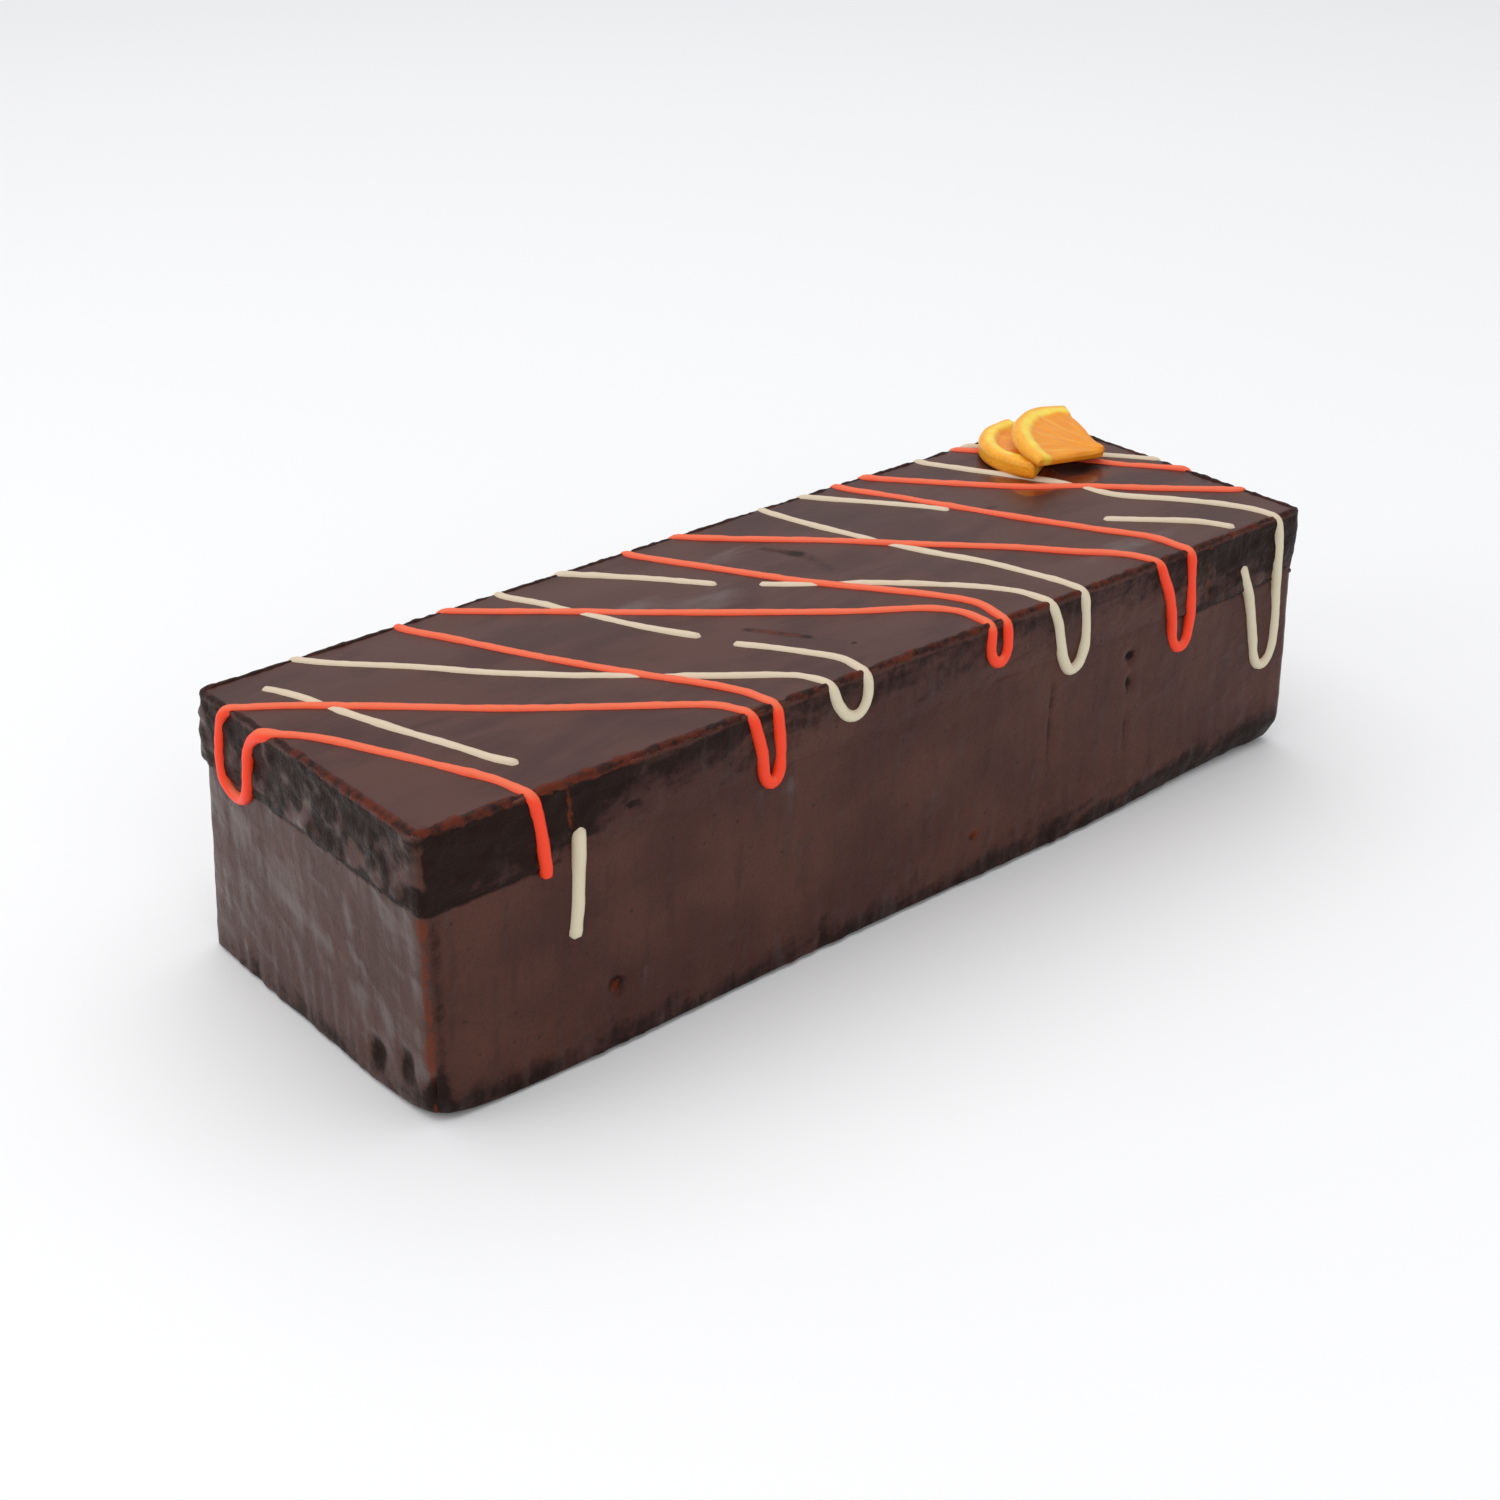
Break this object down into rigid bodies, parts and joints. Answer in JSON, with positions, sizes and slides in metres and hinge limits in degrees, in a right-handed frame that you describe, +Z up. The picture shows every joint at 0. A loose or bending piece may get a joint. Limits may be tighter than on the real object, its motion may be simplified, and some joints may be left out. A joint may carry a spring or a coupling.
{
  "type": "chocolate orange torte",
  "caption": "Bar-shaped layered chocolate torte with looping orange and cream icing strands and candied orange slices on one corner.",
  "frame": {"origin": "middle of the underside, on the surface that the torte stands on", "axes": "+X along the bar, towards the end with the orange slices; +Y across it, away from the side that the picture shows; +Z up"},
  "size_m": [0.3051, 0.1078, 0.0865],
  "materials": {
    "chocolate_cake": "satin dark chocolate with upright streaks",
    "chocolate_glaze": "smooth satin chocolate glaze, rougher on the side",
    "orange_icing": "soft gloss orange icing",
    "cream_icing": "soft gloss cream icing",
    "candied_orange": "candied peel, pale pith and sugared flesh"
  },
  "bodies": {
    "root": {"base_layer": "chocolate_cake", "top_layer": "chocolate_glaze", "orange_slice_flat": "candied_orange", "orange_slice_leaning": "candied_orange"}
  },
  "joints": []
}
